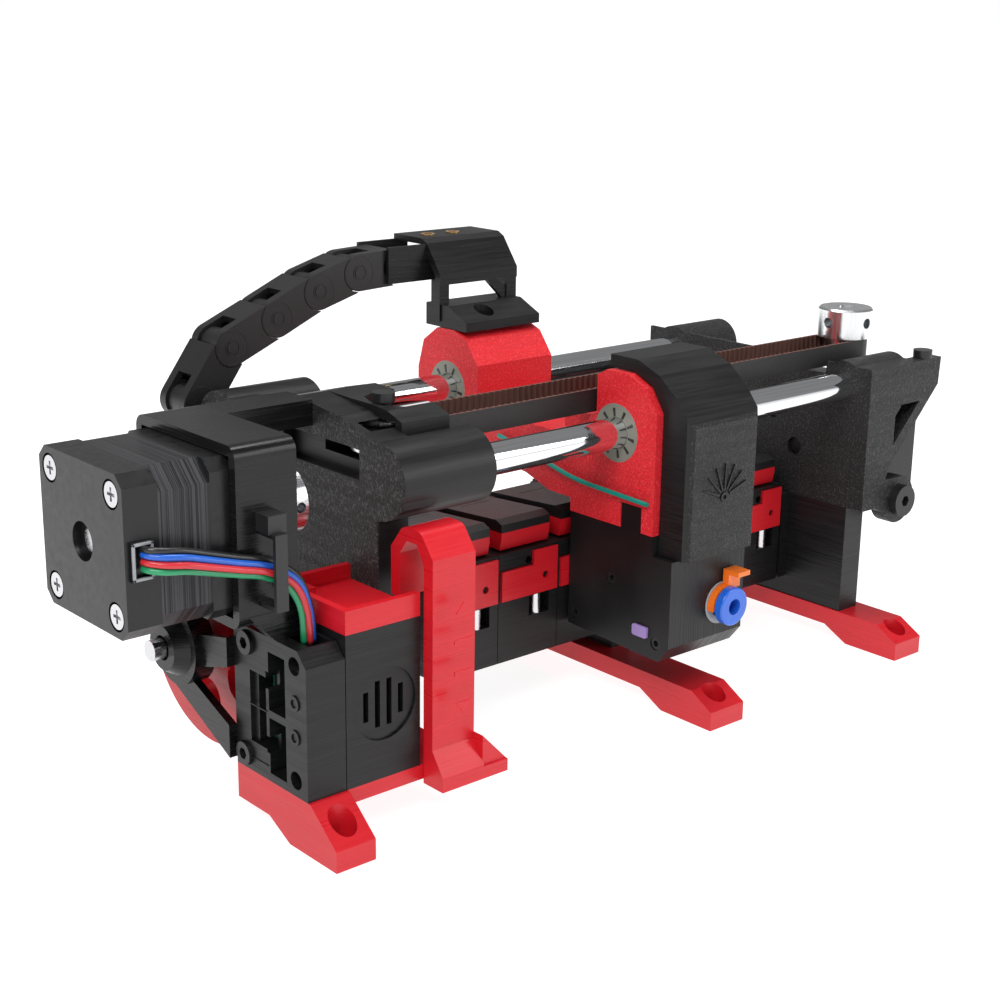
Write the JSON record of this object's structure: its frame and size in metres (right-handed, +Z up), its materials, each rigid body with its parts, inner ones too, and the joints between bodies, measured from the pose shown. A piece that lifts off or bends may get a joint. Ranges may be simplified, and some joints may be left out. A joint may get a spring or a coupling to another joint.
{
  "type": "extruder gear assembly",
  "caption": "Bench unit that feeds and selects filaments: belt-driven row of feeder gear lanes, cart on guide rods above them, cable chain, motors and electronics box on cross feet.",
  "frame": {"origin": "On the bench plane, midway between the two guide rods, on the line between the middle foot's two bolt holes.", "axes": "+X runs along the guide rods from the gear motor to the selector motor, -Y is the side the filament tube leaves from, +Z is up."},
  "size_m": [0.2667, 0.118, 0.1165],
  "materials": {
    "black_print": "satin printed plastic with layer lines",
    "red_print": "glossy printed plastic with layer lines",
    "steel": "machined steel",
    "chrome": "ground and plated steel",
    "dark_anodised": "satin grey-black coating",
    "laminations": "satin black over fine laminations",
    "belt_rubber": "moulded rubber",
    "brass_fittings": "knurled brass",
    "blue_plastic": "glossy",
    "orange_plastic": "glossy",
    "lilac_plastic": "satin",
    "wire_jacket": "insulated wire",
    "teal_wire": "insulated wire",
    "board": "solder-masked board",
    "bearing_polymer": "bearing polymer",
    "servo_plastic": "moulded plastic"
  },
  "bodies": {
    "frame": {"box_lid": "black_print", "chain_anchor": "black_print", "connector_panel": "black_print", "control_board": "board", "cross_feet": "red_print", "drive_belt": "belt_rubber", "drive_bracket": "black_print", "electronics_box": "black_print", "filament_blocks": "black_print", "frame_fasteners": "steel", "gear_motor_caps": "dark_anodised", "gear_motor_stator": "laminations", "guide_rods": "chrome", "latch_plates": "red_print", "left_base": "red_print", "left_end_block": "black_print", "motor_leads": "wire_jacket", "right_end_block": "black_print", "selector_belt": "belt_rubber", "selector_motor": "dark_anodised", "shaft_bearings": "steel", "side_strap": "black_print", "support_plates": "black_print", "zip_tie": "black_print"},
    "drive_line": {"drive_shaft": "steel", "drive_wheel": "red_print", "drive_gears": "steel"},
    "gear_motor_rotor_body": {"gear_motor_rotor": "steel"},
    "selector_rotor_body": {"selector_rotor": "steel"},
    "idler_pulley_body": {"idler_pulley": "steel"},
    "cart": {"cart_body": "red_print", "linear_bearings": "bearing_polymer", "cart_hood": "black_print", "servo": "black_print", "selector_body": "black_print", "selector_insert": "lilac_plastic", "tube_collet": "blue_plastic", "cart_arm": "black_print", "cart_fasteners": "brass_fittings", "cart_wire": "teal_wire"},
    "horn": {"servo_horn": "servo_plastic"},
    "encoder": {"encoder_gear": "steel"},
    "clip": {"collet_clip": "orange_plastic"},
    "arm_1": {"top_arm_1": "red_print"},
    "idler_1": {"idler_gear_1": "steel"},
    "arm_2": {"top_arm_2": "red_print"},
    "idler_2": {"idler_gear_2": "steel"},
    "arm_3": {"top_arm_3": "red_print"},
    "idler_3": {"idler_gear_3": "steel"},
    "arm_4": {"top_arm_4": "red_print"},
    "idler_4": {"idler_gear_4": "steel"},
    "arm_5": {"top_arm_5": "red_print"},
    "idler_5": {"idler_gear_5": "steel"},
    "arm_6": {"top_arm_6": "red_print"},
    "idler_6": {"idler_gear_6": "steel"},
    "chain_1": {"chain_link_1": "black_print"},
    "chain_2": {"chain_link_2": "black_print"},
    "chain_3": {"chain_link_3": "black_print"},
    "chain_4": {"chain_link_4": "black_print"},
    "chain_5": {"chain_link_5": "black_print"}
  },
  "joints": [
    {"name": "drive_shaft_spin", "type": "hinge", "parent": "frame", "child": "drive_line", "pos_m": [0, 0, 0.0356], "axis": [1, 0, 0], "continuous": true},
    {"name": "gear_motor_spin", "type": "hinge", "parent": "frame", "child": "gear_motor_rotor_body", "pos_m": [-0.13, -0.0173, 0.071], "axis": [1, 0, 0], "continuous": true},
    {"name": "arm_1_lift", "type": "hinge", "parent": "frame", "child": "arm_1", "pos_m": [-0.0526, 0.013, 0.0472], "axis": [-1, 0, 0], "range_deg": [0, 3], "stiffness_Nm_per_rad": 0.05, "springref_deg": -17.19},
    {"name": "idler_1_spin", "type": "hinge", "parent": "arm_1", "child": "idler_1", "pos_m": [-0.0526, 0, 0.0462], "axis": [1, 0, 0], "continuous": true},
    {"name": "arm_2_lift", "type": "hinge", "parent": "frame", "child": "arm_2", "pos_m": [-0.032, 0.013, 0.0472], "axis": [-1, 0, 0], "range_deg": [0, 3], "stiffness_Nm_per_rad": 0.05, "springref_deg": -17.19},
    {"name": "idler_2_spin", "type": "hinge", "parent": "arm_2", "child": "idler_2", "pos_m": [-0.032, 0, 0.0462], "axis": [1, 0, 0], "continuous": true},
    {"name": "arm_3_lift", "type": "hinge", "parent": "frame", "child": "arm_3", "pos_m": [-0.0114, 0.013, 0.0472], "axis": [-1, 0, 0], "range_deg": [0, 3], "stiffness_Nm_per_rad": 0.05, "springref_deg": -17.19},
    {"name": "idler_3_spin", "type": "hinge", "parent": "arm_3", "child": "idler_3", "pos_m": [-0.0114, 0, 0.0462], "axis": [1, 0, 0], "continuous": true},
    {"name": "arm_4_lift", "type": "hinge", "parent": "frame", "child": "arm_4", "pos_m": [0.0168, 0.013, 0.0472], "axis": [-1, 0, 0], "range_deg": [0, 3], "stiffness_Nm_per_rad": 0.05, "springref_deg": -17.19},
    {"name": "idler_4_spin", "type": "hinge", "parent": "arm_4", "child": "idler_4", "pos_m": [0.0168, 0, 0.0462], "axis": [1, 0, 0], "continuous": true},
    {"name": "arm_5_lift", "type": "hinge", "parent": "frame", "child": "arm_5", "pos_m": [0.0374, 0.013, 0.0472], "axis": [-1, 0, 0], "range_deg": [0, 3], "stiffness_Nm_per_rad": 0.05, "springref_deg": -17.19},
    {"name": "idler_5_spin", "type": "hinge", "parent": "arm_5", "child": "idler_5", "pos_m": [0.0374, 0, 0.0462], "axis": [1, 0, 0], "continuous": true},
    {"name": "arm_6_lift", "type": "hinge", "parent": "frame", "child": "arm_6", "pos_m": [0.058, 0.013, 0.0472], "axis": [-1, 0, 0], "range_deg": [0, 3], "stiffness_Nm_per_rad": 0.05, "springref_deg": -17.19},
    {"name": "idler_6_spin", "type": "hinge", "parent": "arm_6", "child": "idler_6", "pos_m": [0.058, 0, 0.0462], "axis": [1, 0, 0], "continuous": true},
    {"name": "cart_slide", "type": "slide", "parent": "frame", "child": "cart", "axis": [1, 0, 0], "range_m": [-0.036, 0.06]},
    {"name": "selector_motor_spin", "type": "hinge", "parent": "frame", "child": "selector_rotor_body", "pos_m": [0.0908, -0.018, 0.08], "axis": [0, 0, 1], "range_deg": [-400, 600]},
    {"name": "idler_pulley_spin", "type": "hinge", "parent": "frame", "child": "idler_pulley_body", "pos_m": [-0.08, -0.018, 0.0828], "axis": [0, 0, 1], "range_deg": [-400, 600]},
    {"name": "servo_horn_swing", "type": "hinge", "parent": "cart", "child": "horn", "pos_m": [-0.0026, -0.049, 0.066], "axis": [0, 1, 0], "range_deg": [-22, 22]},
    {"name": "encoder_spin", "type": "hinge", "parent": "cart", "child": "encoder", "pos_m": [0.0004, -0.033, 0.0407], "axis": [1, 0, 0], "continuous": true},
    {"name": "clip_slide", "type": "slide", "parent": "cart", "child": "clip", "axis": [0.5739, 0, 0.8189], "range_m": [0, 0.0064]},
    {"name": "chain_1_bend", "type": "hinge", "parent": "frame", "child": "chain_1", "pos_m": [-0.0915, 0.05, 0.0793], "axis": [0, 1, 0], "range_deg": [-25, 0]},
    {"name": "chain_2_bend", "type": "hinge", "parent": "chain_1", "child": "chain_2", "pos_m": [-0.0816, 0.05, 0.0929], "axis": [0, 1, 0], "range_deg": [-25, 0]},
    {"name": "chain_3_bend", "type": "hinge", "parent": "chain_2", "child": "chain_3", "pos_m": [-0.0674, 0.05, 0.0989], "axis": [0, 1, 0], "range_deg": [-25, 0]},
    {"name": "chain_4_bend", "type": "hinge", "parent": "chain_3", "child": "chain_4", "pos_m": [-0.0539, 0.05, 0.1048], "axis": [0, 1, 0], "range_deg": [-25, 0]},
    {"name": "chain_5_bend", "type": "hinge", "parent": "chain_4", "child": "chain_5", "pos_m": [-0.0408, 0.05, 0.1086], "axis": [0, 1, 0], "range_deg": [-25, 0]}
  ],
  "couplings": [
    {"joint": "gear_motor_spin", "follows": "drive_shaft_spin", "ratio": 4},
    {"joint": "idler_1_spin", "follows": "drive_shaft_spin", "ratio": -1},
    {"joint": "idler_2_spin", "follows": "drive_shaft_spin", "ratio": -1},
    {"joint": "idler_3_spin", "follows": "drive_shaft_spin", "ratio": -1},
    {"joint": "idler_4_spin", "follows": "drive_shaft_spin", "ratio": -1},
    {"joint": "idler_5_spin", "follows": "drive_shaft_spin", "ratio": -1},
    {"joint": "idler_6_spin", "follows": "drive_shaft_spin", "ratio": -1},
    {"joint": "selector_motor_spin", "follows": "cart_slide", "rad_per_m": 157.08},
    {"joint": "idler_pulley_spin", "follows": "cart_slide", "rad_per_m": 157.08}
  ]
}
